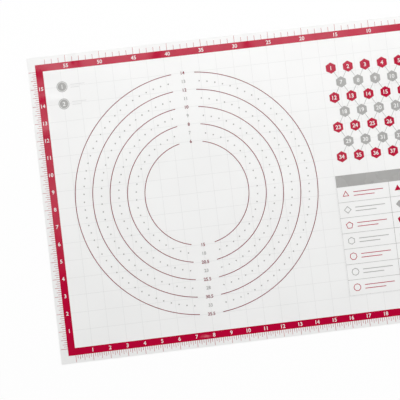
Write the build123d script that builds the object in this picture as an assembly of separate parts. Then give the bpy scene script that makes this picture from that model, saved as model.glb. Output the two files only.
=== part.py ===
from build123d import *
import itertools
import math
import os

# Silicone baking mat, lying flat with its printed face up.
# The origin is the middle of the underside. X runs along the bottom inch scale and Y up the left one.
# Lengths are in millimetres. A place "across" or "up" is counted from the inch scales' zero corner.

# The steps that the scales count. The grid, the rings, the chart and the table all keep to the one-inch step.
grid_pitch = 25.4
centimetre_step = 10.0

# The white field inside the red band is a whole number of inches each way
field_inches_across = 23
field_inches_up = 16
field_width = field_inches_across * grid_pitch
field_depth = field_inches_up * grid_pitch

# The sheet reaches past the field by the band and by a margin for the ticks
band_width = 10.5
tick_margin = 11.3
sheet_width = field_width + 2 * (band_width + tick_margin)
sheet_depth = field_depth + 2 * (band_width + tick_margin)

# The layers, from the worktop up. The underside coat rises round the cloth as a sealed rim.
# The sheet is cut square at its corners.
underside_thickness = 0.22
cloth_thickness = 0.18
face_thickness = 0.28
sealed_rim = 1.5
cloth_level = underside_thickness
face_level = cloth_level + cloth_thickness

# The print. The pale grid goes on first, across and then up, and the coloured inks go over it.
ink_film = 0.04
grid_across_level = face_level + face_thickness
grid_up_level = grid_across_level + ink_film
print_level = grid_up_level + ink_film
grid_line_width = 0.4

# Scale ticks stand outside the band. The longest, at whole inches and at every fifth centimetre,
# stop just short of the sheet's edge, and the others are shares of them.
tick_width = 0.5
tick_edge_gap = 1.1
long_tick = tick_margin - tick_edge_gap
half_inch_tick_share = 0.82
quarter_inch_tick_share = 0.64
centimetre_tick_share = 0.69
ticks_in_an_inch = 4
centimetre_long_tick_count = 5

# Size rings share one centre, midway up the field, at whole inches across. Each is open above and
# below for its two numbers. The dots are small lozenges.
lined_ring_inch_counts = (14, 12, 10, 8, 6)
dotted_ring_inch_counts = (13, 11, 9, 7)
ring_gap = 25.4
ring_line_width = 0.95
ring_opening = 34.3
dot_reach = 1.25
dot_sides = 4
dot_pitch = 11.5
largest_ring_radius = max(lined_ring_inch_counts) * grid_pitch / 2
ring_centre_across = ring_gap + largest_ring_radius
ring_centre_up = field_depth / 2

# Two badges at the top left, with two short lines beside each
badge_inset = 25.4
badge_spacing = 25.4
badge_count = 2
badge_radius = 7.9
badge_line_start = 12.2
badge_line_width = 1.1
badge_line_pitch = 4.2
badge_line_lengths = (21.0, 12.5)

# The chart and the table stand in one panel between the rings and the right side of the band
panel_gap = 26.6
panel_edge_gap = 22.2
panel_across = ring_centre_across + largest_ring_radius + panel_gap
panel_width = field_width - panel_edge_gap - panel_across
panel_middle = panel_across + panel_width / 2

# Note table at the bottom right: a grey header over rows of two cells
table_foot_gap = 26.4
header_height = 17.0
cell_height_share = 0.9
cell_height = cell_height_share * grid_pitch
table_rows = 7
table_columns = 2
rule_width = 0.5
cell_width = panel_width / table_columns
table_depth = table_rows * cell_height
header_foot = table_foot_gap + table_depth

# Each cell holds one plain figure and two lines. A figure has one side more than the one above it.
mark_margin = 6.9
mark_radius = 5.6
mark_line_width = 0.9
fewest_mark_sides = 3
note_line_gap = 5.9
note_line_end_gap = 9.0
short_note_line_share = 0.7
note_line_pitch = 5.4
note_line_width = 1.0
mark_across = mark_margin + mark_radius
note_line_across = mark_across + mark_radius + note_line_gap
long_note_line = cell_width - note_line_across - note_line_end_gap
note_line_lengths = (long_note_line, short_note_line_share * long_note_line)

# Spot chart at the top right: staggered rows of six-sided spots, red and grey by turns
chart_gap = 19.0
spot_pitch = grid_pitch
spot_radius = 8.4
spot_sides = 6
red_spot_count = 6
grey_spot_count = 5
chart_rows = 7
link_width = 0.6
row_pitch = spot_pitch * math.sin(math.pi / 3)
chart_foot = header_foot + header_height + chart_gap + spot_radius


def on_field(across, up):
    """A place on the sheet, from lengths measured from the inch scales' zero corner."""
    return Pos(across - field_width / 2, up - field_depth / 2, 0)


def film(outline, level=print_level):
    """An ink film as thick as one pass of the screen, standing on a level."""
    return extrude(Pos(0, 0, level) * outline, amount=ink_film)


def films(outlines, level=print_level):
    """One group of separate films, one for each outline."""
    return Compound([film(outline, level).solid() for outline in outlines])


def sheet_outline(inset=0):
    """The sheet's outline, or a smaller one that lies inside it by the inset."""
    return Rectangle(sheet_width - 2 * inset, sheet_depth - 2 * inset)


# The laminate

def silicone_underside():
    """The matt coat under the cloth, with the pocket that the cloth lies in."""
    coat = extrude(sheet_outline(), amount=face_level)
    pocket = extrude(Pos(0, 0, cloth_level) * sheet_outline(sealed_rim), amount=cloth_thickness)
    return coat - pocket


def glass_cloth_core():
    """The woven glass cloth, which stops short of the cut edge."""
    return extrude(Pos(0, 0, cloth_level) * sheet_outline(sealed_rim), amount=cloth_thickness)


def silicone_face():
    """The smooth white coat over the cloth and its rim."""
    return extrude(Pos(0, 0, face_level) * sheet_outline(), amount=face_thickness)


# The grid

def grid_lines_across():
    """The grid's lines along X, one at each whole inch up the field."""
    line = Rectangle(field_width, grid_line_width)
    places = [on_field(field_width / 2, row * grid_pitch) for row in range(1, field_inches_up)]
    return films([place * line for place in places], grid_across_level)


def grid_lines_up():
    """The grid's lines along Y, one at each whole inch across the field."""
    line = Rectangle(grid_line_width, field_depth)
    places = [on_field(column * grid_pitch, field_depth / 2) for column in range(1, field_inches_across)]
    return films([place * line for place in places], grid_up_level)


# The band and its scales

def border_band():
    """The red frame round the field."""
    outside = Rectangle(field_width + 2 * band_width, field_depth + 2 * band_width)
    return film(outside - Rectangle(field_width, field_depth))


def inch_tick_length(count):
    """How long a tick of an inch scale is, by its count from zero."""
    if count % ticks_in_an_inch == 0:
        return long_tick
    if count % (ticks_in_an_inch // 2) == 0:
        return half_inch_tick_share * long_tick
    return quarter_inch_tick_share * long_tick


def centimetre_tick_length(count):
    """How long a tick of a centimetre scale is, by its count from zero."""
    if count % centimetre_long_tick_count == 0:
        return long_tick
    return centimetre_tick_share * long_tick


def tick_row(zero, along, outward, spacing, last_count, length_of):
    """A scale's ticks, from its zero mark along one side of the band, standing outward from it."""
    outlines = []
    for count in range(last_count + 1):
        length = length_of(count)
        centre = zero + along * (count * spacing) + outward * (length / 2)
        size = [tick_width, length] if along.X else [length, tick_width]
        outlines.append(Pos(centre) * Rectangle(*size))
    return films(outlines)


def scale_rows():
    """The four scales. The inch scales start at the bottom left and the centimetre ones at the top right."""
    right, up = Vector(1, 0, 0), Vector(0, 1, 0)
    corner = right * (field_width / 2) + up * (field_depth / 2)
    beside, above = right * band_width, up * band_width
    part_inch = grid_pitch / ticks_in_an_inch
    parts_across, parts_up = field_inches_across * ticks_in_an_inch, field_inches_up * ticks_in_an_inch
    whole_across, whole_up = int(field_width / centimetre_step), int(field_depth / centimetre_step)
    bottom, left, top, side = -corner - above, -corner - beside, corner + above, corner + beside
    inch_ticks, centimetre_ticks = inch_tick_length, centimetre_tick_length
    return {
        "inch_scale_bottom": tick_row(bottom, right, -up, part_inch, parts_across, inch_ticks),
        "inch_scale_left": tick_row(left, up, -right, part_inch, parts_up, inch_ticks),
        "centimetre_scale_top": tick_row(top, -right, up, centimetre_step, whole_across, centimetre_ticks),
        "centimetre_scale_right": tick_row(side, -up, right, centimetre_step, whole_up, centimetre_ticks),
    }


# The size rings

def lined_ring(diameter):
    """The two arcs of a lined ring."""
    radius = diameter / 2
    ring = Circle(radius + ring_line_width / 2) - Circle(radius - ring_line_width / 2)
    arcs = ring - Rectangle(ring_opening, diameter + 2 * ring_line_width)
    centre = on_field(ring_centre_across, ring_centre_up)
    return films([centre * arc for arc in arcs.faces()])


def dotted_ring(diameter):
    """A ring of dots, an even number of them, left out where its two numbers stand."""
    radius = diameter / 2
    dots = 2 * round(math.pi * radius / dot_pitch)
    centre = on_field(ring_centre_across, ring_centre_up)
    outlines = []
    for number in range(dots):
        angle = 2 * math.pi * number / dots
        beside, above = radius * math.sin(angle), radius * math.cos(angle)
        if abs(beside) > ring_opening / 2:
            outlines.append(centre * Pos(beside, above) * RegularPolygon(dot_reach, dot_sides))
    return films(outlines)


# The badges

def badge_centres():
    """The badges' centres, from the top one down."""
    top = field_depth - badge_inset
    return [on_field(badge_inset, top - number * badge_spacing) for number in range(badge_count)]


def corner_badges():
    """The round badges."""
    return films([centre * Circle(badge_radius) for centre in badge_centres()])


def line_pair(lengths, pitch, width):
    """Two lines from one left end, one above and one below the height they are placed at."""
    return [
        Pos(length / 2, pitch / 2 - number * pitch) * Rectangle(length, width)
        for number, length in enumerate(lengths)
    ]


def badge_lines():
    """The short lines to the right of each badge."""
    pair = line_pair(badge_line_lengths, badge_line_pitch, badge_line_width)
    return films([centre * Pos(badge_line_start, 0) * line for centre in badge_centres() for line in pair])


# The spot chart

def spot_centres(row):
    """The centres of a row's spots, from the bottom row up. Every second row is grey and one spot shorter."""
    count = grey_spot_count if row % 2 else red_spot_count
    start = panel_middle - (count - 1) * spot_pitch / 2
    return [on_field(start + spot * spot_pitch, chart_foot + row * row_pitch) for spot in range(count)]


def spot_rows(first):
    """The spots of every second row, from the first one given."""
    spot = RegularPolygon(spot_radius, spot_sides, rotation=180 / spot_sides)
    return films([centre * spot for row in range(first, chart_rows, 2) for centre in spot_centres(row)])


def spot_chart_links():
    """The thin lines from each grey spot to the four red ones round it, from side to side."""
    flat_radius = spot_radius * math.cos(math.pi / spot_sides)
    link = Rectangle(spot_pitch - 2 * flat_radius, link_width)
    grey_centres = [centre for row in range(1, chart_rows, 2) for centre in spot_centres(row)]
    outlines = []
    for centre in grey_centres:
        for side, rise in itertools.product((-1, 1), (-1, 1)):
            middle = centre * Pos(side * spot_pitch / 4, rise * row_pitch / 2)
            outlines.append(middle * Rot(0, 0, side * rise * 60) * link)
    return films(outlines)


# The note table

def cell_corner(row, column):
    """The top left corner of a cell, counted from the top row."""
    return (panel_across + column * cell_width, header_foot - row * cell_height)


def note_table_header():
    """The grey bar over the table."""
    middle = on_field(panel_middle, header_foot + header_height / 2)
    return film(middle * Rectangle(panel_width, header_height))


def note_table_rules():
    """The table's outer lines and the rules between its cells, as one net."""
    open_width, open_height = cell_width - rule_width, cell_height - rule_width
    middle = on_field(panel_middle, table_foot_gap + table_depth / 2)
    net = middle * Rectangle(panel_width, table_depth)
    for row in range(table_rows):
        for column in range(table_columns):
            corner_across, corner_up = cell_corner(row, column)
            centre = on_field(corner_across + cell_width / 2, corner_up - cell_height / 2)
            net -= centre * Rectangle(open_width, open_height)
    return film(net)


def cell_middles(first_row):
    """The middle of the left side of each cell, in every second row from the first one given."""
    return [
        (row, column, cell_corner(row, column)[0], cell_corner(row, column)[1] - cell_height / 2)
        for row in range(first_row, table_rows, 2)
        for column in range(table_columns)
    ]


def note_marks(first_row):
    """The plain figures, outlined in the left column and filled in the right one."""
    outlines = []
    for row, column, across, up in cell_middles(first_row):
        sides = fewest_mark_sides + row
        figure = RegularPolygon(mark_radius, sides, rotation=90)
        if column == 0:
            inner_radius = mark_radius - mark_line_width / math.cos(math.pi / sides)
            figure -= RegularPolygon(inner_radius, sides, rotation=90)
        outlines.append(on_field(across + mark_across, up) * figure)
    return films(outlines)


def note_lines(first_row):
    """The lines beside each figure."""
    pair = line_pair(note_line_lengths, note_line_pitch, note_line_width)
    starts = [on_field(across + note_line_across, up) for _, _, across, up in cell_middles(first_row)]
    return films([start * line for start in starts for line in pair])


# The whole mat

def build_parts():
    """Every piece of the mat by its name."""
    parts = {
        "silicone_underside": silicone_underside(),
        "glass_cloth_core": glass_cloth_core(),
        "silicone_face": silicone_face(),
        "grid_lines_across": grid_lines_across(),
        "grid_lines_up": grid_lines_up(),
        "border_band": border_band(),
        **scale_rows(),
        "corner_badges": corner_badges(),
        "badge_lines": badge_lines(),
        "spot_chart_red": spot_rows(0),
        "spot_chart_grey": spot_rows(1),
        "spot_chart_links": spot_chart_links(),
        "note_table_header": note_table_header(),
        "note_table_rules": note_table_rules(),
        "note_marks_red": note_marks(0),
        "note_marks_grey": note_marks(1),
        "note_lines_red": note_lines(0),
        "note_lines_grey": note_lines(1),
    }
    for inches in lined_ring_inch_counts:
        parts[f"ring_{inches}_inch"] = lined_ring(inches * grid_pitch)
    for inches in dotted_ring_inch_counts:
        parts[f"dotted_ring_{inches}_inch"] = dotted_ring(inches * grid_pitch)
    return parts


os.makedirs("parts", exist_ok=True)
for name, shape in build_parts().items():
    export_step(shape, f"parts/{name}.step")
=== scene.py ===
"""A printed silicone pastry mat lying on a white table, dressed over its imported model.

Lengths are in metres. X runs along the bottom inch scale, Y up the left one, and Z up from the table.
"""

import logging
import math
from collections.abc import Iterator, Sequence
from contextlib import contextmanager
from dataclasses import dataclass
from enum import Enum

import bpy
import numpy as np
from mathutils import Matrix, Vector


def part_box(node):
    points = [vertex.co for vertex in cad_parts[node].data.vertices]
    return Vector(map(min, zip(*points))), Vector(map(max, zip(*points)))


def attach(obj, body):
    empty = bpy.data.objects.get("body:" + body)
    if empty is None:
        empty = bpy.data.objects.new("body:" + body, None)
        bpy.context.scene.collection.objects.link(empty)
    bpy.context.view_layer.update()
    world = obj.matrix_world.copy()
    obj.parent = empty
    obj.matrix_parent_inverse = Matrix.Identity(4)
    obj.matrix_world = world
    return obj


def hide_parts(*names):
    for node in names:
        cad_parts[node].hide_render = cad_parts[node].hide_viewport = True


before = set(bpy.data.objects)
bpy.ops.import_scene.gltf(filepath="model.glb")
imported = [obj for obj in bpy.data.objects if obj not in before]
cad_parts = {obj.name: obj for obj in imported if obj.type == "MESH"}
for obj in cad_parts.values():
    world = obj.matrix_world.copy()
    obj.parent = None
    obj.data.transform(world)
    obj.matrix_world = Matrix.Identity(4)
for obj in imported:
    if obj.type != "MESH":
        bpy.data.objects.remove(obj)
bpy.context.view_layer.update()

MILLIMETRE = 0.001
CENTIMETRE = 0.01
INCH = 0.0254
MERGE_DISTANCE = 0.001 * MILLIMETRE
Colour = tuple[float, float, float]

log = logging.getLogger("pastry_mat")


class Slot(Enum):
    """The record's material slots, by the finish that each one holds."""

    UNDERSIDE = "underside_silicone"
    CLOTH = "glass_cloth"
    FACE = "face_silicone"
    RED = "red_ink"
    DARK_RED = "dark_red_ink"
    GREY = "grey_ink"
    GRID = "grid_ink"


def half_size(node: str) -> tuple[float, float]:
    """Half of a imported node's size along X and along Y."""
    low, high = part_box(node)
    return (high.x - low.x) / 2, (high.y - low.y) / 2


def middle_of(node: str) -> Vector:
    """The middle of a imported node's box."""
    low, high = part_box(node)
    return (low + high) / 2


# Finishes

@dataclass(frozen=True)
class Number:
    """One varying number in a finish. Sums on it add Math nodes to the finish's tree."""

    recipe: "Recipe"
    socket: bpy.types.NodeSocket

    def _math(self, operation: str, *terms: "Number | float") -> "Number":
        """Adds one Math node, which works on the terms, and gives its result."""
        node = self.recipe.node("ShaderNodeMath", {"operation": operation}, dict(enumerate(terms)))
        return Number(self.recipe, node.outputs[0])

    def __add__(self, other: "Number | float") -> "Number":
        """The sum with another number."""
        return self._math("ADD", self, other)

    def __radd__(self, other: float) -> "Number":
        """The sum with a plain number on the left."""
        return self._math("ADD", other, self)

    def __sub__(self, other: "Number | float") -> "Number":
        """The difference from another number."""
        return self._math("SUBTRACT", self, other)

    def __rsub__(self, other: float) -> "Number":
        """A plain number less this one."""
        return self._math("SUBTRACT", other, self)

    def __mul__(self, other: "Number | float") -> "Number":
        """The product with another number."""
        return self._math("MULTIPLY", self, other)

    def __rmul__(self, other: float) -> "Number":
        """The product with a plain number on the left."""
        return self._math("MULTIPLY", other, self)

    def sine(self) -> "Number":
        """The sine of this number, in radians."""
        return self._math("SINE", self)

    def size(self) -> "Number":
        """This number without its sign."""
        return self._math("ABSOLUTE", self)

    def or_more(self, other: "Number | float") -> "Number":
        """This number or another, whichever is larger."""
        return self._math("MAXIMUM", self, other)

    def share(self, low: float, high: float) -> "Number":
        """Where this number lies between two others, eased and held between 0 and 1.

        Args:
            low: The number that gives 0.
            high: The number that gives 1.

        Returns:
            The share.
        """
        settings = {"interpolation_type": "SMOOTHSTEP", "clamp": True}
        node = self.recipe.node("ShaderNodeMapRange", settings, {0: self, 1: low, 2: high})
        return Number(self.recipe, node.outputs[0])


class Recipe:
    """The node tree of one finish while it is written."""

    def __init__(self, name: str) -> None:
        """Starts an empty material.

        Args:
            name: The material's name.
        """
        self.material = bpy.data.materials.new(name)
        self.material.use_nodes = True
        self.tree = self.material.node_tree
        self.tree.nodes.clear()
        self.place = self.node("ShaderNodeTexCoord").outputs["Object"]

    @property
    def flat_place(self) -> tuple[Number, Number]:
        """The surface's X and Y."""
        axes = self.node("ShaderNodeSeparateXYZ", {}, {"Vector": self.place}).outputs
        return Number(self, axes["X"]), Number(self, axes["Y"])

    def node(self, kind: str, settings: dict | None = None, values: dict | None = None) -> bpy.types.Node:
        """Adds a node.

        Args:
            kind: The node's type.
            settings: Its own settings, such as a Math node's operation, which are set first.
            values: A number, a colour or a link for each of its sockets, by name or by count.

        Returns:
            The node.
        """
        node = self.tree.nodes.new(kind)
        for name, value in (settings or {}).items():
            setattr(node, name, value)
        for name, value in (values or {}).items():
            link = value.socket if isinstance(value, Number) else value
            if isinstance(link, bpy.types.NodeSocket):
                self.tree.links.new(link, node.inputs[name])
            else:
                node.inputs[name].default_value = link
        return node

    def clouds(self, size: float, detail: float = 3.0) -> Number:
        """A number round 0.5 that changes over soft patches of this size and over finer ones on them."""
        values = {"Vector": self.place, "Scale": 1 / size, "Detail": detail}
        return Number(self, self.node("ShaderNodeTexNoise", {}, values).outputs["Fac"])

    def weave(self, thread: float) -> Number:
        """The height, from -1 to 1, of a plain weave with this distance from thread to thread."""
        across, up = (along * (math.pi / thread) for along in self.flat_place)
        return across.sine() * up.sine()

    def outside(self, half_sizes: tuple[float, float], blend: float) -> Number:
        """0 within a rectangle round the origin with these half sizes, and 1 past a blend outside it."""
        across, up = (along.size() - half for along, half in zip(self.flat_place, half_sizes))
        return across.or_more(up).share(0.0, blend)

    def between(self, mask: Number, first: Colour, second: Colour) -> bpy.types.NodeSocket:
        """A colour between two others, the first where the mask is 0 and the second where it is 1."""
        values = {0: mask, 6: (*first, 1.0), 7: (*second, 1.0)}
        return self.node("ShaderNodeMix", {"data_type": "RGBA", "clamp_factor": False}, values).outputs[2]

    def relief(self, height: Number, depth: float) -> bpy.types.NodeSocket:
        """The normal of a fine relief whose height of 1 stands this deep."""
        values = {"Height": height, "Distance": depth, "Strength": 1.0}
        return self.node("ShaderNodeBump", {}, values).outputs["Normal"]

    def surface(self, values: dict) -> bpy.types.Material:
        """Ends the recipe with one Principled surface.

        Args:
            values: What the shader's sockets get.

        Returns:
            The finished material.
        """
        shader = self.node("ShaderNodeBsdfPrincipled", {}, values)
        self.node("ShaderNodeOutputMaterial", {}, {"Surface": shader.outputs[0]})
        return self.material


def darker(colour: Colour, share: float) -> Colour:
    """A colour with a share of its light taken away."""
    return tuple(part * (1 - share) for part in colour)


@dataclass(frozen=True)
class SiliconeCoat:
    """Cast silicone over woven cloth, clouded, lightly smudged and with the weave just showing."""

    colour: Colour
    cloud_share: float
    roughness: float
    smudge_roughness: float
    gloss: float
    weave_share: float
    weave_depth: float
    thread: float = 0.55 * MILLIMETRE
    cloud_size: float = 90 * MILLIMETRE
    cloud_edges: tuple[float, float] = (0.35, 0.75)
    smudge_size: float = 38 * MILLIMETRE
    smudge_detail: float = 5.0
    smudge_edges: tuple[float, float] = (0.45, 0.7)
    ripple_size: float = 4 * MILLIMETRE
    ripple_height: float = 2.0
    bare_margin: float = 0.0
    margin_start: tuple[float, float] = (1.0, 1.0)
    margin_blend: float = 0.4 * MILLIMETRE

    def make(self, name: str) -> bpy.types.Material:
        """Writes the finish.

        Args:
            name: The material's name.

        Returns:
            The material.
        """
        recipe = Recipe(name)
        weave = recipe.weave(self.thread)
        shade = recipe.clouds(self.cloud_size).share(*self.cloud_edges) * (1 - self.weave_share)
        shade = shade + weave.share(-1.0, 1.0) * self.weave_share
        shade = shade + recipe.outside(self.margin_start, self.margin_blend) * self.bare_margin
        smudge = recipe.clouds(self.smudge_size, self.smudge_detail).share(*self.smudge_edges)
        height = weave + recipe.clouds(self.ripple_size) * self.ripple_height
        return recipe.surface({
            "Base Color": recipe.between(shade, self.colour, darker(self.colour, self.cloud_share)),
            "Roughness": self.roughness + smudge * self.smudge_roughness,
            "Specular IOR Level": self.gloss,
            "Normal": recipe.relief(height, self.weave_depth),
        })


@dataclass(frozen=True)
class ScreenInk:
    """Silicone ink pressed through a screen: even, satin, a little uneven in its cover and its shine."""

    colour: Colour
    cover_share: float = 0.08
    roughness: float = 0.15
    smudge_roughness: float = 0.06
    gloss: float = 0.5
    mesh_depth: float = 0.002 * MILLIMETRE
    cover_size: float = 24 * MILLIMETRE
    cover_detail: float = 4.0
    cover_edges: tuple[float, float] = (0.3, 0.7)
    smudge_size: float = 30 * MILLIMETRE
    smudge_detail: float = 5.0
    smudge_edges: tuple[float, float] = (0.42, 0.68)
    grain_size: float = 1.2 * MILLIMETRE
    grain_detail: float = 2.0
    screen_thread: float = 0.3 * MILLIMETRE
    thread_height: float = 0.5

    def make(self, name: str) -> bpy.types.Material:
        """Writes the finish.

        Args:
            name: The material's name.

        Returns:
            The material.
        """
        recipe = Recipe(name)
        cover = recipe.clouds(self.cover_size, self.cover_detail).share(*self.cover_edges)
        grain = recipe.clouds(self.grain_size, self.grain_detail)
        smudge = recipe.clouds(self.smudge_size, self.smudge_detail).share(*self.smudge_edges)
        height = grain + recipe.weave(self.screen_thread) * self.thread_height
        return recipe.surface({
            "Base Color": recipe.between(cover, self.colour, darker(self.colour, self.cover_share)),
            "Roughness": self.roughness + smudge * self.smudge_roughness,
            "Specular IOR Level": self.gloss,
            "Normal": recipe.relief(height, self.mesh_depth),
        })


@dataclass(frozen=True)
class GlassCloth:
    """Bare woven glass fibre."""

    colour: Colour
    gap_colour: Colour
    gap_edges: tuple[float, float] = (-0.6, 0.6)
    roughness: float = 0.55
    thread: float = 0.55 * MILLIMETRE
    thread_depth: float = 0.05 * MILLIMETRE

    def make(self, name: str) -> bpy.types.Material:
        """Writes the finish.

        Args:
            name: The material's name.

        Returns:
            The material.
        """
        recipe = Recipe(name)
        weave = recipe.weave(self.thread)
        return recipe.surface({
            "Base Color": recipe.between(weave.share(*self.gap_edges), self.gap_colour, self.colour),
            "Roughness": self.roughness,
            "Normal": recipe.relief(weave, self.thread_depth),
        })


def make_finishes() -> dict[Slot, bpy.types.Material]:
    """Makes every finish of the mat once, for all the pieces that have it."""
    finishes = {
        Slot.UNDERSIDE: SiliconeCoat(
            (0.78, 0.78, 0.765), cloud_share=0.07, roughness=0.62, smudge_roughness=0.12, gloss=0.35,
            weave_share=0.6, weave_depth=0.05 * MILLIMETRE,
        ),
        Slot.CLOTH: GlassCloth((0.86, 0.86, 0.84), gap_colour=(0.6, 0.6, 0.58)),
        Slot.FACE: SiliconeCoat(
            (0.885, 0.885, 0.878), cloud_share=0.03, roughness=0.3, smudge_roughness=0.1, gloss=0.36,
            weave_share=0.2, weave_depth=0.006 * MILLIMETRE,
            bare_margin=0.6, margin_start=half_size("border_band"),
        ),
        Slot.RED: ScreenInk((0.48, 0.0, 0.035)),
        Slot.DARK_RED: ScreenInk((0.22, 0.003, 0.024), cover_share=0.1),
        Slot.GREY: ScreenInk((0.405, 0.4, 0.39), cover_share=0.07, roughness=0.26),
        Slot.GRID: ScreenInk((0.74, 0.74, 0.735), cover_share=0.03, roughness=0.36),
    }
    return {slot: finish.make(slot.value) for slot, finish in finishes.items()}


# How the mat lies

def read_places(obj: bpy.types.Object) -> np.ndarray:
    """Reads where a mesh's vertices are.

    Args:
        obj: The mesh object.

    Returns:
        The vertices' places, one row each.
    """
    places = np.empty(len(obj.data.vertices) * 3)
    obj.data.vertices.foreach_get("co", places)
    return places.reshape(-1, 3)


def write_places(obj: bpy.types.Object, places: np.ndarray) -> None:
    """Moves a mesh's vertices to new places, one row each."""
    obj.data.vertices.foreach_set("co", places.ravel())
    obj.data.update()


@dataclass(frozen=True)
class Ripple:
    """One long, low wave of the sheet. A heading of 0 makes it run along X."""

    rise: float
    length: float
    heading_degrees: float
    phase_degrees: float

    def height(self, across: np.ndarray, up: np.ndarray) -> np.ndarray:
        """How high the wave lifts each place of the sheet.

        Args:
            across: The places' X.
            up: Their Y.

        Returns:
            Heights from 0 to the wave's rise.
        """
        heading, phase = math.radians(self.heading_degrees), math.radians(self.phase_degrees)
        along = across * math.cos(heading) + up * math.sin(heading)
        return self.rise * (1 + np.sin(2 * math.pi * along / self.length + phase)) / 2


@dataclass(frozen=True)
class Buckle:
    """A small round-backed ridge left from rolling the sheet, which fades away inwards from an edge."""

    middle: tuple[float, float]
    rise: float
    half_sizes: tuple[float, float]
    gentle_half: float = 12 * MILLIMETRE
    close_halves: float = 2.0

    def height(self, across: np.ndarray, up: np.ndarray) -> np.ndarray:
        """How high the ridge lifts each place of the sheet.

        Args:
            across: The places' X.
            up: Their Y.

        Returns:
            Heights from 0 to the ridge's rise.
        """
        wide = (across - self.middle[0]) / self.half_sizes[0]
        deep = (up - self.middle[1]) / self.half_sizes[1]
        return self.rise * np.exp(-(wide ** 2) - deep ** 2)

    def steep_at(self, axis: int, place: float) -> bool:
        """Whether the sheet must be cut closer at a place on X, axis 0, or on Y, axis 1, to follow it."""
        half = self.half_sizes[axis]
        return half < self.gentle_half and abs(place - self.middle[axis]) < self.close_halves * half


@dataclass(frozen=True)
class Lie:
    """The way the mat rests on the table: its lowest place touches it, and the rest stands higher.

    The sheet and its long films are cut along one net, closer at the buckles, so that they lift alike.
    """

    ripples: tuple[Ripple, ...]
    buckles: tuple[Buckle, ...]
    half_sizes: tuple[float, float]
    probes: int = 120
    net: float = 5 * MILLIMETRE
    close_cuts: int = 3
    end_share: float = 0.1

    def _lift(self, across: np.ndarray, up: np.ndarray) -> np.ndarray:
        """How high all the waves together lift each place, not yet counted from the lowest one."""
        return sum(wave.height(across, up) for wave in (*self.ripples, *self.buckles))

    def _lowest(self) -> float:
        """The lift at the sheet's lowest place."""
        lines = (np.linspace(-half, half, self.probes) for half in self.half_sizes)
        return float(self._lift(*np.meshgrid(*lines)).min())

    def _steep_at(self, axis: int, place: float) -> bool:
        """Whether any buckle makes the sheet steep at a place on X, axis 0, or on Y, axis 1."""
        return any(buckle.steep_at(axis, place) for buckle in self.buckles)

    def cuts(self, axis: int, low: float, high: float) -> list[float]:
        """Where the net cuts a piece.

        Args:
            axis: 0 for X and 1 for Y.
            low: Where the piece starts on that axis.
            high: Where it ends.

        Returns:
            The cuts between both ends.
        """
        step = self.net / self.close_cuts
        first, last = math.ceil(low / step + self.end_share), math.floor(high / step - self.end_share)
        return [
            count * step for count in range(first, last + 1)
            if count % self.close_cuts == 0 or self._steep_at(axis, count * step)
        ]

    def settle(self, obj: bpy.types.Object) -> None:
        """Lifts a piece to where the sheet's waves carry it.

        Args:
            obj: The piece's mesh object, modelled flat, at the origin.
        """
        places = read_places(obj)
        places[:, 2] += self._lift(places[:, 0], places[:, 1]) - self._lowest()
        write_places(obj, places)


def lie_of_the_mat() -> Lie:
    """Describes how the mat lies: nearly flat, with low waves and a few buckles along its edges.

    Returns:
        The mat's lie.
    """
    ripples = (
        Ripple(0.30 * MILLIMETRE, 210 * MILLIMETRE, heading_degrees=12, phase_degrees=40),
        Ripple(0.22 * MILLIMETRE, 150 * MILLIMETRE, heading_degrees=98, phase_degrees=200),
        Ripple(0.10 * MILLIMETRE, 83 * MILLIMETRE, heading_degrees=47, phase_degrees=310),
    )
    top_buckles = (
        Buckle((-0.242, 0.225), 1.0 * MILLIMETRE, (6 * MILLIMETRE, 18 * MILLIMETRE)),
        Buckle((-0.125, 0.225), 1.0 * MILLIMETRE, (10 * MILLIMETRE, 18 * MILLIMETRE)),
        Buckle((0.012, 0.225), 1.0 * MILLIMETRE, (7 * MILLIMETRE, 18 * MILLIMETRE)),
    )
    left_buckles = (
        Buckle((-0.283, 0.161), 0.9 * MILLIMETRE, (18 * MILLIMETRE, 5.5 * MILLIMETRE)),
        Buckle((-0.283, 0.200), 1.0 * MILLIMETRE, (18 * MILLIMETRE, 7 * MILLIMETRE)),
        Buckle((-0.300, 0.1145), 1.0 * MILLIMETRE, (20 * MILLIMETRE, 10 * MILLIMETRE)),
    )
    bottom_buckle = Buckle((-0.1006, -0.2125), 1.6 * MILLIMETRE, (8 * MILLIMETRE, 4.5 * MILLIMETRE))
    return Lie(ripples, (*top_buckles, *left_buckles, bottom_buckle), half_size("silicone_face"))


# The workbench

def take(*objects: bpy.types.Object) -> None:
    """Selects these objects alone and works on the first.

    Args:
        objects: What is selected. With none, nothing is.
    """
    bpy.ops.object.select_all(action="DESELECT")
    for obj in objects:
        obj.select_set(True)
    bpy.context.view_layer.objects.active = objects[0] if objects else None


@contextmanager
def editing(obj: bpy.types.Object, whole: bool = True) -> Iterator[None]:
    """Opens a mesh for editing.

    Args:
        obj: The mesh object.
        whole: Whether everything in it is selected. If not, it keeps its own selection.

    Yields:
        Nothing.
    """
    take(obj)
    bpy.ops.object.mode_set(mode="EDIT")
    if whole:
        bpy.ops.mesh.select_all(action="SELECT")
    yield
    bpy.ops.object.mode_set(mode="OBJECT")


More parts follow.
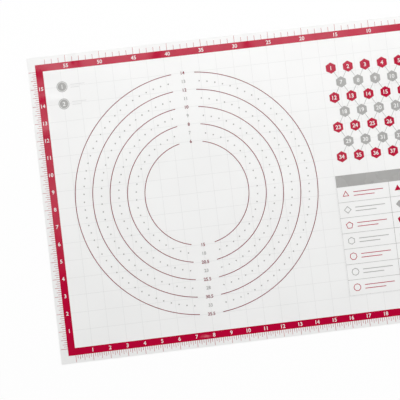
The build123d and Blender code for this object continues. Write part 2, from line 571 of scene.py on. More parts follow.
@dataclass
class Piece:
    """One piece of the mat on the workbench, from its first face to its finish."""

    name: str
    obj: bpy.types.Object

    def __post_init__(self) -> None:
        """Names the object."""
        self.obj.name = self.name

    def place(self) -> None:
        """Puts the object at the origin, with its place in its mesh."""
        take(self.obj)
        bpy.ops.object.transform_apply(location=True, rotation=True, scale=True)

    def thicken(self, height: float, shoulder: float = 1.0) -> None:
        """Raises a flat face into a closed film.

        Args:
            height: The film's thickness.
            shoulder: How wide the film's top is, as a share of its foot.
        """
        with editing(self.obj):
            bpy.ops.mesh.remove_doubles(threshold=MERGE_DISTANCE)
            bpy.ops.mesh.extrude_region_move(TRANSFORM_OT_translate={"value": (0, 0, height)})
            bpy.ops.transform.resize(value=(shoulder, shoulder, 1.0))
            bpy.ops.mesh.select_all(action="SELECT")
            bpy.ops.mesh.normals_make_consistent(inside=False)

    def score(self, lie: Lie) -> None:
        """Cuts the piece's faces along the net on which the sheet follows its waves.

        Corners that the cuts leave on top of each other are merged.

        Args:
            lie: How the mat lies.
        """
        places = read_places(self.obj)
        low, high = places.min(0), places.max(0)
        with editing(self.obj):
            for axis in (0, 1):
                normal = Vector((axis == 0, axis == 1, 0))
                for cut in lie.cuts(axis, low[axis], high[axis]):
                    bpy.ops.mesh.select_all(action="SELECT")
                    bpy.ops.mesh.bisect(plane_co=normal * cut, plane_no=normal)
            bpy.ops.mesh.select_all(action="SELECT")
            bpy.ops.mesh.remove_doubles(threshold=MERGE_DISTANCE)

    def repeat(self, moves: Sequence[Matrix]) -> None:
        """Copies the piece to a row of places and joins the copies.

        Args:
            moves: The move that takes the piece to each place.
        """
        copies = []
        for move in moves:
            copy = self.obj.copy()
            copy.data = self.obj.data.copy()
            copy.data.transform(move)
            bpy.context.collection.objects.link(copy)
            copies.append(copy)
        bpy.data.objects.remove(self.obj)
        take(*copies)
        bpy.ops.object.join()
        self.obj = bpy.context.object
        self.obj.name = self.name

    def add(self, *others: "Piece") -> None:
        """Joins other pieces to this one.

        Args:
            others: The pieces that become part of it.
        """
        take(self.obj, *(other.obj for other in others))
        bpy.ops.object.join()
        self.obj.name = self.name


@dataclass
class Bench:
    """The place where pieces are made: it knows the mat's finishes and how the mat lies."""

    finishes: dict[Slot, bpy.types.Material]
    lie: Lie
    edge_angle: float = math.radians(30)

    def plate(self, name: str, centre: Vector, width: float, depth: float) -> Piece:
        """Lays a flat rectangular face.

        Args:
            name: The piece's name.
            centre: The middle of the rectangle.
            width: Its size along X.
            depth: Its size along Y.

        Returns:
            The face as a piece, at the origin.
        """
        take()
        bpy.ops.mesh.primitive_plane_add(size=1, location=centre)
        bpy.ops.transform.resize(value=(width, depth, 1))
        piece = Piece(name, bpy.context.object)
        piece.place()
        return piece

    def deliver(self, piece: Piece, slot: Slot, node: str, scored: bool = False) -> bpy.types.Object:
        """Dresses a finished piece, lays it on the sheet's waves and ties it to the frame.

        Args:
            piece: The piece, modelled flat.
            slot: Its finish.
            node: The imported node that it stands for.
            scored: Whether it is first cut along the sheet's net, as all long films are.

        Returns:
            The piece's object.
        """
        if scored:
            piece.score(self.lie)
        obj = piece.obj
        obj.data.name = piece.name
        self.lie.settle(obj)
        take(obj)
        bpy.ops.object.shade_smooth_by_angle(angle=self.edge_angle)
        obj.data.materials.clear()
        obj.data.materials.append(self.finishes[slot])
        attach(obj, "root")
        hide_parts(node)
        log.info("%s: %d faces", piece.name, len(obj.data.polygons))
        return obj


# The laminate

@dataclass
class Laminate:
    """The sheet itself: a matt coat below, woven cloth within it and a smooth white coat over both."""

    bench: Bench

    def _net(self, name: str, node: str) -> Piece:
        """Makes the flat foot of a layer, already cut along the sheet's net.

        Args:
            name: The piece's name.
            node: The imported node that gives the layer's outline.

        Returns:
            The foot as a piece.
        """
        low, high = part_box(node)
        middle = middle_of(node)
        lines = [
            [low[axis], *self.bench.lie.cuts(axis, low[axis], high[axis]), high[axis]] for axis in (0, 1)
        ]
        take()
        bpy.ops.mesh.primitive_grid_add(
            x_subdivisions=len(lines[0]) - 1,
            y_subdivisions=len(lines[1]) - 1,
            size=1,
            location=(middle.x, middle.y, low.z),
        )
        bpy.ops.transform.resize(value=(high.x - low.x, high.y - low.y, 1))
        piece = Piece(name, bpy.context.object)
        piece.place()
        places = read_places(piece.obj)
        for axis, line in enumerate(lines):
            even = np.linspace(line[0], line[-1], len(line))
            places[:, axis] = np.interp(places[:, axis], even, line)
        write_places(piece.obj, places)
        return piece

    def _layer(self, name: str, slot: Slot, node: str) -> bpy.types.Object:
        """Makes a layer of one thickness.

        Args:
            name: The piece's name.
            slot: Its finish.
            node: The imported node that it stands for.

        Returns:
            The layer's object.
        """
        low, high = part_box(node)
        piece = self._net(name, node)
        piece.thicken(high.z - low.z)
        return self.bench.deliver(piece, slot, node)

    def _underside(self) -> bpy.types.Object:
        """Makes the matt grip coat, with the low rim that closes round the cloth.

        Returns:
            The coat's object.
        """
        piece = self._net("underside_sheet", "silicone_underside")
        low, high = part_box("glass_cloth_core")
        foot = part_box("silicone_underside")[0].z
        rim = half_size("silicone_underside")[0] - half_size("glass_cloth_core")[0]
        with editing(piece.obj):
            bpy.ops.mesh.extrude_region_move(TRANSFORM_OT_translate={"value": (0, 0, low.z - foot)})
            bpy.ops.mesh.inset(thickness=rim, use_boundary=True, use_even_offset=True)
            bpy.ops.mesh.select_mode(type="FACE")
            bpy.ops.mesh.select_all(action="DESELECT")
        for face in piece.obj.data.polygons:
            middle = face.center
            under_cloth = low.x < middle.x < high.x and low.y < middle.y < high.y
            face.select = abs(middle.z - low.z) < MERGE_DISTANCE and not under_cloth
        with editing(piece.obj, whole=False):
            bpy.ops.mesh.extrude_region_move(TRANSFORM_OT_translate={"value": (0, 0, high.z - low.z)})
            bpy.ops.mesh.select_all(action="SELECT")
            bpy.ops.mesh.normals_make_consistent(inside=False)
            bpy.ops.mesh.select_mode(type="VERT")
        return self.bench.deliver(piece, Slot.UNDERSIDE, "silicone_underside")

    def build(self) -> tuple[bpy.types.Object, bpy.types.Object]:
        """Makes the three layers.

        Returns:
            The face and the underside.
        """
        self._layer("cloth_sheet", Slot.CLOTH, "glass_cloth_core")
        face = self._layer("face_sheet", Slot.FACE, "silicone_face")
        return face, self._underside()


# The print's scales, field and stencils

@dataclass(frozen=True)
class Unit:
    """A unit of the edge scales: its ticks and how often a number stands beside one.

    A tick's length is a share of the longest one's, the first whose step divides the tick's count.
    """

    length: float
    parts: int
    number_step: int
    tick_shares: tuple[tuple[int, float], ...]

    def tick_share(self, count: int) -> float:
        """The length of one tick, as a share of the longest one's."""
        return next(share for step, share in self.tick_shares if count % step == 0)


INCHES = Unit(INCH, parts=8, number_step=1, tick_shares=((8, 1.0), (4, 0.82), (2, 0.64), (1, 0.47)))
CENTIMETRES = Unit(CENTIMETRE, parts=1, number_step=5, tick_shares=((5, 1.0), (1, 0.69)))


class Side(Enum):
    """A side of the field and its scale."""

    BOTTOM = ("inch_scale_bottom", INCHES, 180, (1, 0))
    LEFT = ("inch_scale_left", INCHES, 90, (0, 1))
    TOP = ("centimetre_scale_top", CENTIMETRES, 0, (-1, 0))
    RIGHT = ("centimetre_scale_right", CENTIMETRES, -90, (0, -1))

    def __init__(self, node: str, unit: Unit, turn_degrees: float, way: tuple[int, int]) -> None:
        """Takes the side's values.

        Args:
            node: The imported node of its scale.
            unit: The unit that the scale counts.
            turn_degrees: The turn that makes a tick, modelled along Y, stand outward.
            way: The way that the scale counts, along X and Y.
        """
        self.node = node
        self.unit = unit
        self.turn = Matrix.Rotation(math.radians(turn_degrees), 4, "Z")
        self.way = Vector((*way, 0))

    @property
    def counts_up(self) -> bool:
        """Whether the scale starts at the bottom left corner and not at the top right one."""
        return sum(self.way) > 0


@dataclass(frozen=True)
class Field:
    """The white field inside the band and the levels of the print, as the frame gives them."""

    left: float
    right: float
    bottom: float
    top: float
    band: float
    face_level: float
    ink: float
    rounding_share: float = 0.001

    @classmethod
    def measured(cls) -> "Field":
        """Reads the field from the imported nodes.

        Returns:
            The field.
        """
        across_low, across_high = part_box("grid_lines_across")
        up_low, up_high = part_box("grid_lines_up")
        band_low, band_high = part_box("border_band")
        face_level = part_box("silicone_face")[1].z
        return cls(
            left=across_low.x, right=across_high.x, bottom=up_low.y, top=up_high.y,
            band=across_low.x - band_low.x, face_level=face_level, ink=band_high.z - face_level,
        )

    @property
    def width(self) -> float:
        """The field's size along X."""
        return self.right - self.left

    @property
    def depth(self) -> float:
        """The field's size along Y."""
        return self.top - self.bottom

    def at(self, across: float, up: float) -> Vector:
        """A place on the face, counted from the inch scales' zero corner."""
        return Vector((self.left + across, self.bottom + up, self.face_level))

    def beside(self, side: Side, run: float, out: float) -> Vector:
        """The place this far along a side, from its scale's zero, and this far out from the field."""
        corner = self.at(0, 0) if side.counts_up else self.at(self.width, self.depth)
        return corner + side.way * run + side.turn @ Vector((0, out, 0))

    def steps(self, side: Side, step: float) -> int:
        """How many whole steps a side has."""
        return math.floor((self.width if side.way.x else self.depth) / step + self.rounding_share)


@dataclass
class Stencil:
    """A flat figure drawn with closed outlines, and printed as one film.

    What is between two outlines, one within the other, is filled. What is within both is open.
    """

    name: str
    level: float
    ink: float
    curve_steps: int = 4
    figure_share: float = 0.73
    figure_weight: float = 0.02

    def __post_init__(self) -> None:
        """Starts without an outline."""
        self.outlines: list[bpy.types.Object] = []

    def _keep(self, centre: Vector) -> None:
        """Turns the new object into outlines whose middle stands at a place.

        Args:
            centre: That place.
        """
        bpy.ops.object.convert(target="CURVE")
        obj = bpy.context.object
        bpy.context.view_layer.update()
        corners = [Vector(corner) for corner in obj.bound_box]
        middle = (corners[0] + corners[6]) / 2
        obj.location = Vector((centre.x - middle.x, centre.y - middle.y, self.level))
        self.outlines.append(obj)

    def polygon(self, centre: Vector, radius: float, sides: int) -> None:
        """Draws a regular figure with a corner up.

        Args:
            centre: The middle of the circle through its corners.
            radius: That circle's radius.
            sides: How many sides it has.
        """
        take()
        bpy.ops.mesh.primitive_circle_add(vertices=sides, radius=radius, fill_type="NOTHING")
        bpy.ops.object.convert(target="CURVE")
        bpy.context.object.location = (centre.x, centre.y, self.level)
        self.outlines.append(bpy.context.object)

    def rectangle(self, centre: Vector, width: float, depth: float) -> None:
        """Draws a rectangle.

        Args:
            centre: Its middle.
            width: Its size along X.
            depth: Its size along Y.
        """
        take()
        bpy.ops.mesh.primitive_plane_add(size=1)
        with editing(bpy.context.object):
            bpy.ops.transform.resize(value=(width, depth, 1))
            bpy.ops.mesh.delete(type="ONLY_FACE")
        self._keep(centre)

    def outline_of(self, node: str) -> None:
        """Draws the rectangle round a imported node."""
        self.rectangle(middle_of(node), *(2 * half for half in half_size(node)))

    def short_lines(self, start: Vector, lengths: Sequence[float], pitch: float, width: float) -> None:
        """Draws two short lines, one under the other.

        Args:
            start: The middle between both lines' left ends.
            lengths: Their lengths, the upper one's first.
            pitch: The distance between them.
            width: How wide they are.
        """
        for order, length in enumerate(lengths):
            beside = Vector((length / 2, pitch * (0.5 - order), 0))
            self.rectangle(start + beside, length, width)

    def number(self, text: str, centre: Vector, height: float) -> None:
        """Draws a plain number.

        Args:
            text: Its figures.
            centre: The middle of the number.
            height: How tall its figures are.
        """
        take()
        bpy.ops.object.text_add()
        letters = bpy.context.object.data
        letters.body = text
        letters.size = height / self.figure_share
        letters.offset = self.figure_weight * letters.size
        letters.resolution_u = self.curve_steps
        bpy.ops.object.convert(target="MESH")
        with editing(bpy.context.object):
            bpy.ops.mesh.remove_doubles(threshold=MERGE_DISTANCE)
            bpy.ops.mesh.select_mode(type="EDGE")
            bpy.ops.mesh.region_to_loop()
            bpy.ops.mesh.select_all(action="INVERT")
            bpy.ops.mesh.delete(type="EDGE_FACE")
            bpy.ops.mesh.select_mode(type="VERT")
        self._keep(centre)

    def print(self) -> Piece:
        """Prints the figure as a closed film of ink.

        Returns:
            The film as a piece.
        """
        take(*self.outlines)
        bpy.context.object.data.dimensions = "2D"
        bpy.context.object.data.fill_mode = "BOTH"
        bpy.ops.object.join()
        bpy.ops.object.convert(target="MESH")
        piece = Piece(self.name, bpy.context.object)
        piece.place()
        piece.thicken(self.ink)
        return piece


# The print

@dataclass
class Printed:
    """A part of the print, with the bench that it is made on and the field that it is laid out on."""

    bench: Bench
    field: Field

    def _stencil(self, name: str) -> Stencil:
        """An empty stencil on the face, for a film of this name."""
        return Stencil(name, self.field.face_level, self.field.ink)

    def _press(self, stencil: Stencil, slot: Slot, node: str) -> bpy.types.Object:
        """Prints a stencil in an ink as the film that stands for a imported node."""
        return self.bench.deliver(stencil.print(), slot, node, scored=True)


@dataclass
class InchGrid(Printed):
    """The pale one-inch grid, which stays clear of the table."""

    line_width: float = 0.4 * MILLIMETRE

    def _runs(self, axis: int, place: float) -> list[tuple[float, float]]:
        """Finds where one line runs.

        Args:
            axis: The axis along which it runs.
            place: Its place on the other axis.

        Returns:
            The start and the end of each run: one for a clear line, two for a line that the table parts.
        """
        field = self.field
        start, end = ((field.left, field.right), (field.bottom, field.top))[axis]
        low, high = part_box("note_table_rules")[0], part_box("note_table_header")[1]
        if low[1 - axis] < place < high[1 - axis]:
            return [(start, low[axis]), (high[axis], end)]
        return [(start, end)]

    def _lines(self, node: str, axis: int, side: Side) -> bpy.types.Object:
        """Lays the grid's lines one way.

        Args:
            node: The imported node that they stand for.
            axis: The axis along which they run.
            side: The side of the field that they start from.

        Returns:
            The lines as one piece.
        """
        level, size = self.field.face_level, [self.line_width, self.line_width]
        size[axis] = 1.0
        piece = self.bench.plate(node.replace("lines", "film"), Vector((0, 0, level)), *size)
        piece.thicken(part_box(node)[1].z - level)
        moves = []
        for count in range(1, self.field.steps(side, INCH)):
            place = self.field.beside(side, count * INCH, 0.0)[1 - axis]
            for start, end in self._runs(axis, place):
                middle, stretch = Vector((place, place, 0)), Vector((1, 1, 1))
                middle[axis], stretch[axis] = (start + end) / 2, end - start
                moves.append(Matrix.Translation(middle) @ Matrix.Diagonal(stretch).to_4x4())
        piece.repeat(moves)
        return self.bench.deliver(piece, Slot.GRID, node, scored=True)

    def build(self) -> list[bpy.types.Object]:
        """Makes both sets of lines."""
        return [
            self._lines("grid_lines_across", 0, Side.LEFT),
            self._lines("grid_lines_up", 1, Side.BOTTOM),
        ]


@dataclass
class BorderBand(Printed):
    """The red frame, with its scales' numbers left bare in it."""

    figure_height: float = 5.6 * MILLIMETRE

    def build(self) -> list[bpy.types.Object]:
        """Prints the band.

        Returns:
            The band alone.
        """
        field, stencil = self.field, self._stencil("border_band_film")
        stencil.outline_of("border_band")
        stencil.rectangle(middle_of("border_band"), field.width, field.depth)
        for side in Side:
            unit, step = side.unit.length, side.unit.number_step
            for count in range(step, field.steps(side, unit), step):
                place = field.beside(side, count * unit, field.band / 2)
                stencil.number(str(count), place, self.figure_height)
        return [self._press(stencil, Slot.RED, "border_band")]


@dataclass
class EdgeScales(Printed):
    """The rows of ticks outside the band, one on each side."""

    tick_width: float = 0.5 * MILLIMETRE
    shoulder: float = 0.9

    def _longest(self, side: Side) -> float:
        """How far a side's ticks reach out from the band."""
        end, axis = 0 if side.counts_up else 1, 1 if side.way.x else 0
        return abs(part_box(side.node)[end][axis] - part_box("border_band")[end][axis])

    def _scale(self, side: Side) -> bpy.types.Object:
        """Prints one scale, one length of tick after another.

        Args:
            side: The scale's side.

        Returns:
            The ticks as one piece.
        """
        field, unit = self.field, side.unit
        spacing = unit.length / unit.parts
        rows = []
        for share in sorted({share for _, share in unit.tick_shares}):
            length = share * self._longest(side)
            middle = Vector((0, length / 2, 0))
            tick = self.bench.plate(f"{side.node}_film", middle, self.tick_width, length)
            tick.thicken(field.ink, self.shoulder)
            tick.repeat([
                Matrix.Translation(field.beside(side, count * spacing, field.band)) @ side.turn
                for count in range(field.steps(side, spacing) + 1) if unit.tick_share(count) == share
            ])
            rows.append(tick)
        piece = rows.pop()
        piece.add(*rows)
        return self.bench.deliver(piece, Slot.RED, side.node, scored=True)

    def build(self) -> list[bpy.types.Object]:
        """Prints all four scales."""
        return [self._scale(side) for side in Side]


@dataclass
class SizeRings(Printed):
    """The size rings round one centre, lined and dotted by turns, each with its two numbers."""

    lined: tuple[int, ...] = (14, 12, 10, 8, 6)
    dotted: tuple[int, ...] = (13, 11, 9, 7)
    line_width: float = 1.1 * MILLIMETRE
    opening: float = 34.3 * MILLIMETRE
    figure_height: float = 4.8 * MILLIMETRE
    arc_step: float = 3 * MILLIMETRE
    dot_radius: float = 1.1 * MILLIMETRE
    dot_pitch: float = 11.5 * MILLIMETRE
    dot_sides: int = 12
    shoulder: float = 0.8

    def _centre(self) -> Vector:
        """The rings' centre, on the face."""
        return Vector((*middle_of(f"ring_{self.lined[0]}_inch").xy, self.field.face_level))

    def _numbers(self, inches: int) -> Piece:
        """Prints a ring's size over it in inches and under it in centimetres, to the nearest half.

        Args:
            inches: The ring's size.

        Returns:
            Both numbers as one piece.
        """
        above = Vector((0, inches * INCH / 2, 0))
        halves = round(2 * inches * INCH / CENTIMETRE)
        stencil = self._stencil("numbers")
        stencil.number(str(inches), self._centre() + above, self.figure_height)
        stencil.number(f"{halves / 2:g}", self._centre() - above, self.figure_height)
        return stencil.print()

    def _line(self, name: str, radius: float) -> Piece:
        """Spins one half of a lined ring from a section of its line, and turns a copy to the other side.

        Args:
            name: The piece's name.
            radius: The ring's radius.

        Returns:
            Both arcs as one piece.
        """
        centre, ink = self._centre(), self.field.ink
        from_top = math.asin(self.opening / 2 / radius)
        sweep = math.pi - 2 * from_top
        piece = self.bench.plate(name, Vector((0, ink / 2, 0)), self.line_width, ink)
        with editing(piece.obj):
            bpy.ops.mesh.subdivide(number_cuts=1)
        for vertex in piece.obj.data.vertices:
            if vertex.co.y > ink / 2 + MERGE_DISTANCE:
                vertex.co.x *= self.shoulder
        upright = Matrix.Translation((radius, 0, 0)) @ Matrix.Rotation(math.pi / 2, 4, "X")
        turned = Matrix.Rotation(math.pi / 2 - from_top, 4, "Z")
        piece.obj.data.transform(Matrix.Translation(centre) @ turned @ upright)
        steps = math.ceil(sweep * radius / self.arc_step)
        with editing(piece.obj):
            bpy.ops.mesh.spin(steps=steps, angle=sweep, center=centre, axis=(0, 0, 1))
            bpy.ops.mesh.select_all(action="SELECT")
            bpy.ops.mesh.remove_doubles(threshold=MERGE_DISTANCE)
            bpy.ops.mesh.normals_make_consistent(inside=False)
        there, back = Matrix.Translation(centre), Matrix.Translation(-centre)
        piece.repeat([Matrix(), there @ Matrix.Rotation(math.pi, 4, "Z") @ back])
        return piece

    def _dots(self, name: str, radius: float) -> Piece:
        """Lays the dots of a dotted ring.

        Args:
            name: The piece's name.
            radius: The ring's radius.

        Returns:
            The dots as one piece.
        """
        dot = {"vertices": self.dot_sides, "radius": self.dot_radius, "fill_type": "NGON"}
        take()
        bpy.ops.mesh.primitive_circle_add(**dot)
        piece = Piece(name, bpy.context.object)
        piece.thicken(self.field.ink, self.shoulder)
        count = 2 * round(math.pi * radius / self.dot_pitch)
        angles = [2 * math.pi * spoke / count for spoke in range(count)]
        spokes = [Vector((math.sin(angle), math.cos(angle), 0)) * radius for angle in angles]
        clear = [spoke for spoke in spokes if abs(spoke.x) > self.opening / 2]
        piece.repeat([Matrix.Translation(self._centre() + spoke) for spoke in clear])
        return piece

    def _ring(self, inches: int) -> bpy.types.Object:
        """Prints one ring with its numbers.

        Args:
            inches: The ring's size.

        Returns:
            The ring's object.
        """
        lined = inches in self.lined
        kind, slot = ("ring", Slot.DARK_RED) if lined else ("dotted_ring", Slot.GREY)
        draw = self._line if lined else self._dots
        piece = draw(f"{kind}_{inches}_film", inches * INCH / 2)
        piece.add(self._numbers(inches))
        return self.bench.deliver(piece, slot, f"{kind}_{inches}_inch")

    def build(self) -> list[bpy.types.Object]:
        """Prints every ring."""
        return [self._ring(inches) for inches in (*self.lined, *self.dotted)]


@dataclass
class CornerBadges(Printed):
    """Two grey discs at the top left, each with an open circle, a plain number and two short lines."""

    count: int = 2
    inset: float = INCH
    rim: float = 0.9 * MILLIMETRE
    open_circle: float = 0.7 * MILLIMETRE
    figure_height: float = 6.2 * MILLIMETRE
    disc_sides: int = 48
    line_start: float = 12.2 * MILLIMETRE
    line_lengths: tuple[float, float] = (21.0 * MILLIMETRE, 12.5 * MILLIMETRE)
    line_pitch: float = 4.2 * MILLIMETRE
    line_width: float = 1.1 * MILLIMETRE

    def build(self) -> list[bpy.types.Object]:
        """Prints both badges.

        Returns:
            The discs and the lines.
        """
        radius = half_size("corner_badges")[0]
        inner = radius - self.rim
        discs, lines = self._stencil("corner_badges_film"), self._stencil("badge_lines_film")
        for number in range(1, self.count + 1):
            centre = self.field.at(self.inset, self.field.depth - number * self.inset)
            for circle in (radius, inner, inner - self.open_circle):
                discs.polygon(centre, circle, self.disc_sides)
            discs.number(str(number), centre, self.figure_height)
            start = centre + Vector((self.line_start, 0, 0))
            lines.short_lines(start, self.line_lengths, self.line_pitch, self.line_width)
        return [
            self._press(discs, Slot.GREY, "corner_badges"),
            self._press(lines, Slot.GRID, "badge_lines"),
        ]


@dataclass
class SpotChart(Printed):
    """Staggered rows of six-sided spots, red and grey by turns, with numbers left bare in them."""

    pitch: float = INCH
    rows: int = 7
    red_count: int = 6
    grey_count: int = 5
    sides: int = 6
    figure_height: float = 6.0 * MILLIMETRE
    link_width: float = 0.6 * MILLIMETRE

    @property
    def _row_pitch(self) -> float:
        """The distance from row to row."""
        return self.pitch * math.sin(math.pi / 3)

    @property
    def _radius(self) -> float:
        """The radius of a spot's corners."""
        return half_size("spot_chart_red")[1] - (self.rows - 1) * self._row_pitch / 2

    def _centres(self, row: int) -> list[Vector]:
        """Finds where a row's spots stand.

        Args:
            row: The row, counted from the bottom.

        Returns:
            The middle of each spot, from left to right.
        """
        middle = middle_of("spot_chart_red")
        up = middle.y + (row - (self.rows - 1) / 2) * self._row_pitch
        count = self.grey_count if row % 2 else self.red_count
        starts = (middle.x + (spot - (count - 1) / 2) * self.pitch for spot in range(count))
        return [Vector((across, up, self.field.face_level)) for across in starts]

    def _spots(self, name: str, slot: Slot, first_row: int, node: str) -> bpy.types.Object:
        """Prints every second row.

        Args:
            name: The piece's name.
            slot: Its ink.
            first_row: The lowest row that it has.
            node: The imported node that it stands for.

        Returns:
            The spots as one piece.
        """
        stencil = self._stencil(name)
        for row in range(first_row, self.rows, 2):
            from_top = self.rows - 1 - row
            before = from_top // 2 * (self.red_count + self.grey_count) + from_top % 2 * self.red_count
            for number, centre in enumerate(self._centres(row), before + 1):
                stencil.polygon(centre, self._radius, self.sides)
                stencil.number(str(number), centre, self.figure_height)
        return self._press(stencil, slot, node)

    def _links(self) -> bpy.types.Object:
        """Prints the thin lines from each grey spot to the four red ones round it.

        Returns:
            The lines as one piece.
        """
        length = self.pitch - 2 * self._radius * math.cos(math.pi / self.sides)
        piece = self.bench.plate("spot_links_film", Vector(), length, self.link_width)
        piece.thicken(self.field.ink)
        moves = []
        for row in range(1, self.rows, 2):
            for centre in self._centres(row):
                for side, rise in ((-1, -1), (-1, 1), (1, -1), (1, 1)):
                    middle = centre + Vector((side * self.pitch / 4, rise * self._row_pitch / 2, 0))
                    slant = Matrix.Rotation(side * rise * math.pi / 3, 4, "Z")
                    moves.append(Matrix.Translation(middle) @ slant)
        piece.repeat(moves)
        return self.bench.deliver(piece, Slot.GREY, "spot_chart_links")

    def build(self) -> list[bpy.types.Object]:
        """Prints the chart."""
        return [
            self._spots("red_spots_film", Slot.RED, 0, "spot_chart_red"),
            self._spots("grey_spots_film", Slot.GREY, 1, "spot_chart_grey"),
            self._links(),
        ]


@dataclass
class NoteTable(Printed):
    """A ruled table under a bare header. Each cell has a plain figure and two lines."""

    rows: int = 7
    columns: int = 2
    rule_width: float = 0.5 * MILLIMETRE
    fewest_sides: int = 3
    mark_across: float = 12.5 * MILLIMETRE
    mark_radius: float = 5.6 * MILLIMETRE
    mark_line_width: float = 0.9 * MILLIMETRE
    line_gap: float = 5.9 * MILLIMETRE
    line_end_gap: float = 9.0 * MILLIMETRE
    short_line_share: float = 0.7
    line_pitch: float = 5.4 * MILLIMETRE
    line_width: float = 1.0 * MILLIMETRE

    def _cell_size(self) -> tuple[float, float]:
        """A cell's width and height."""
        low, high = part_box("note_table_rules")
        return (high.x - low.x) / self.columns, (high.y - low.y) / self.rows

    def _cells(self, rows: range, across: float) -> Iterator[tuple[int, int, Vector]]:
        """Goes through the cells of some rows, counted from the top.

        Args:
            rows: The rows.
            across: How far the wanted place is from a cell's left side.

        Yields:
            Each cell's row and column, and the wanted place at half its height.
        """
        low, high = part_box("note_table_rules")
        width, height = self._cell_size()
        for row in rows:
            for column in range(self.columns):
                place = (low.x + column * width + across, high.y - (row + 0.5) * height)
                yield row, column, Vector((*place, self.field.face_level))

    def _header(self) -> bpy.types.Object:
        """Prints the grey bar.

        Returns:
            The bar's object.
        """
        stencil = self._stencil("table_header_film")
        stencil.outline_of("note_table_header")
        return self._press(stencil, Slot.GREY, "note_table_header")

    def _rules(self) -> bpy.types.Object:
        """Prints the outer lines and the rules between the cells.

        Returns:
            The lines as one net.
        """
        width, height = self._cell_size()
        stencil = self._stencil("table_rules_film")
        stencil.outline_of("note_table_rules")
        for _, _, middle in self._cells(range(self.rows), width / 2):
            stencil.rectangle(middle, width - self.rule_width, height - self.rule_width)
        return self._press(stencil, Slot.GREY, "note_table_rules")

    def _marks(self, first_row: int, slot: Slot, node: str) -> bpy.types.Object:
        """Prints the figures of every second row, outlined at the left and filled at the right.

        Args:
            first_row: The first row from the top.
            slot: Their ink.
            node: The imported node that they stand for.

        Returns:
            The figures as one piece.
        """
        stencil = self._stencil(f"{node}_film")
        for row, column, middle in self._cells(range(first_row, self.rows, 2), self.mark_across):
            sides = self.fewest_sides + row
            stencil.polygon(middle, self.mark_radius, sides)
            if column == 0:
                inner = self.mark_radius - self.mark_line_width / math.cos(math.pi / sides)
                stencil.polygon(middle, inner, sides)
        return self.bench.deliver(stencil.print(), slot, node)

    def _lines(self, first_row: int, slot: Slot, node: str) -> bpy.types.Object:
        """Prints the lines beside the figures of every second row.

        Args:
            first_row: The first row from the top.
            slot: Their ink.
            node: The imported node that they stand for.

        Returns:
            The lines as one piece.
        """
        start = self.mark_across + self.mark_radius + self.line_gap
        long_line = self._cell_size()[0] - start - self.line_end_gap
        lengths = (long_line, self.short_line_share * long_line)
        stencil = self._stencil(f"{node}_film")
        for _, _, place in self._cells(range(first_row, self.rows, 2), start):
            stencil.short_lines(place, lengths, self.line_pitch, self.line_width)
        return self._press(stencil, slot, node)

    def build(self) -> list[bpy.types.Object]:
        """Prints the table."""
        return [
            self._header(),
            self._rules(),
            self._marks(0, Slot.RED, "note_marks_red"),
            self._marks(1, Slot.GREY, "note_marks_grey"),
            self._lines(0, Slot.RED, "note_lines_red"),
            self._lines(1, Slot.GREY, "note_lines_grey"),
        ]


# The studio

@dataclass(frozen=True)
class Softbox:
    """A soft lamp that faces straight down or towards the mat. A radiance of 1 looks white."""

    name: str
    place: tuple[float, float, float]
    size: tuple[float, float]
    radiance: float
    faces_mat: bool = False

    def hang(self) -> None:
        """Hangs the lamp."""
        take()
        bpy.ops.object.light_add(type="AREA", location=self.place)
        lamp = bpy.context.object
        lamp.name = self.name
        lamp.data.shape = "RECTANGLE"
        lamp.data.size, lamp.data.size_y = self.size
        lamp.data.energy = self.radiance * math.pi * self.size[0] * self.size[1]
        if self.faces_mat:
            lamp.rotation_euler = (-Vector(self.place)).to_track_quat("-Z", "Y").to_euler()


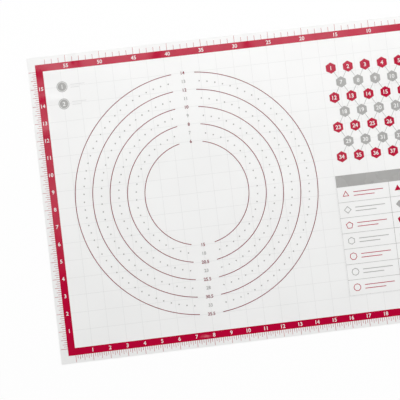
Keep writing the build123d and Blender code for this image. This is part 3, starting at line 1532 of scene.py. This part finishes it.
@dataclass
class Studio:
    """A white table, soft light and the camera of the photograph."""

    lens: float = 135.0
    sensor: float = 36.0
    aim: Vector = Vector((-0.08581, -0.01090, 0.0))
    distance: float = 2.1967
    azimuth_degrees: float = -42.058
    tilt_degrees: float = 3.540
    roll_degrees: float = 35.213
    floor_size: float = 40.0
    floor_gap: float = 0.05 * MILLIMETRE
    floor_colour: Colour = (0.9, 0.9, 0.9)
    floor_white_share: float = 0.92
    wall_light: float = 0.93
    ceiling_light: float = 0.03
    ceiling_edge: tuple[float, float] = (0.74, 0.9)
    lamps: tuple[Softbox, ...] = (
        Softbox("overhead", (0.05, 0.83, 1.55), (1.0, 0.86), 2.8),
        Softbox("overhead_left", (-0.335, 0.2, 1.55), (0.27, 0.4), 1.45),
        Softbox("overhead_right", (0.33, 0.2, 1.55), (0.17, 0.4), 1.1),
        Softbox("right_side", (1.5, 0.3, 0.9), (1.0, 1.0), 1.75, faces_mat=True),
        Softbox("far_side", (0.3, 1.9, 1.1), (1.2, 1.0), 1.5, faces_mat=True),
        Softbox("left_side", (-1.0, 1.1, 0.8), (0.8, 0.6), 1.5, faces_mat=True),
    )

    def camera(self) -> None:
        """Places the camera over the mat, turned as the photograph is."""
        turns = ((self.azimuth_degrees, "Z"), (self.tilt_degrees, "X"), (self.roll_degrees, "Z"))
        around, tilted, rolled = (Matrix.Rotation(math.radians(turn), 4, axis) for turn, axis in turns)
        back = Matrix.Translation((0, 0, self.distance))
        take()
        bpy.ops.object.camera_add()
        camera = bpy.context.object
        camera.data.lens = self.lens
        camera.data.sensor_width = self.sensor
        camera.matrix_world = Matrix.Translation(self.aim) @ around @ tilted @ rolled @ back
        bpy.context.scene.camera = camera

    def floor(self) -> None:
        """Lays the white table top, which shows as white but still takes the mat's shadow."""
        take()
        bpy.ops.mesh.primitive_plane_add(size=self.floor_size, location=(0, 0, -self.floor_gap))
        floor = bpy.context.object
        floor.name = "table_top"
        recipe = Recipe("white_table")
        rays = recipe.node("ShaderNodeLightPath").outputs
        camera, glossy, passing = (
            Number(recipe, rays[f"Is {kind} Ray"]) for kind in ("Camera", "Glossy", "Transmission")
        )
        matt = recipe.node("ShaderNodeBsdfDiffuse", {}, {"Color": (*self.floor_colour, 1.0)})
        white = recipe.node("ShaderNodeEmission", {}, {"Color": (1.0, 1.0, 1.0, 1.0), "Strength": 1.0})
        seen = (camera + glossy + passing) * self.floor_white_share
        mixed = recipe.node("ShaderNodeMixShader", {}, {0: seen, 1: matt.outputs[0], 2: white.outputs[0]})
        recipe.node("ShaderNodeOutputMaterial", {}, {"Surface": mixed.outputs[0]})
        floor.data.materials.append(recipe.material)

    def world(self) -> None:
        """Lights the room evenly from its white walls, under a dim ceiling."""
        world = bpy.data.worlds.new("room")
        world.use_nodes = True
        tree = world.node_tree
        sky = tree.nodes.new("ShaderNodeTexCoord")
        axes = tree.nodes.new("ShaderNodeSeparateXYZ")
        light = tree.nodes.new("ShaderNodeMapRange")
        light.interpolation_type = "SMOOTHSTEP"
        for count, value in enumerate((*self.ceiling_edge, self.wall_light, self.ceiling_light), 1):
            light.inputs[count].default_value = value
        room = tree.nodes["Background"]
        room.inputs["Color"].default_value = (1.0, 1.0, 1.0, 1.0)
        tree.links.new(sky.outputs["Generated"], axes.inputs["Vector"])
        tree.links.new(axes.outputs["Z"], light.inputs["Value"])
        tree.links.new(light.outputs["Result"], room.inputs["Strength"])
        bpy.context.scene.world = world

    def build(self) -> None:
        """Sets up the studio."""
        bpy.context.scene.view_settings.view_transform = "Standard"
        self.world()
        self.floor()
        for lamp in self.lamps:
            lamp.hang()
        self.camera()
        log.info("studio ready")


def main() -> None:
    """Builds the mat and the studio."""
    logging.basicConfig(level=logging.INFO, format="%(name)s %(message)s")
    bench = Bench(make_finishes(), lie_of_the_mat())
    field = Field.measured()
    face, underside = Laminate(bench).build()
    parts = (InchGrid, BorderBand, EdgeScales, SizeRings, CornerBadges, SpotChart, NoteTable)
    films = [film for part in parts for film in part(bench, field).build()]
    Studio().build()


if __name__ == "__main__":
    main()
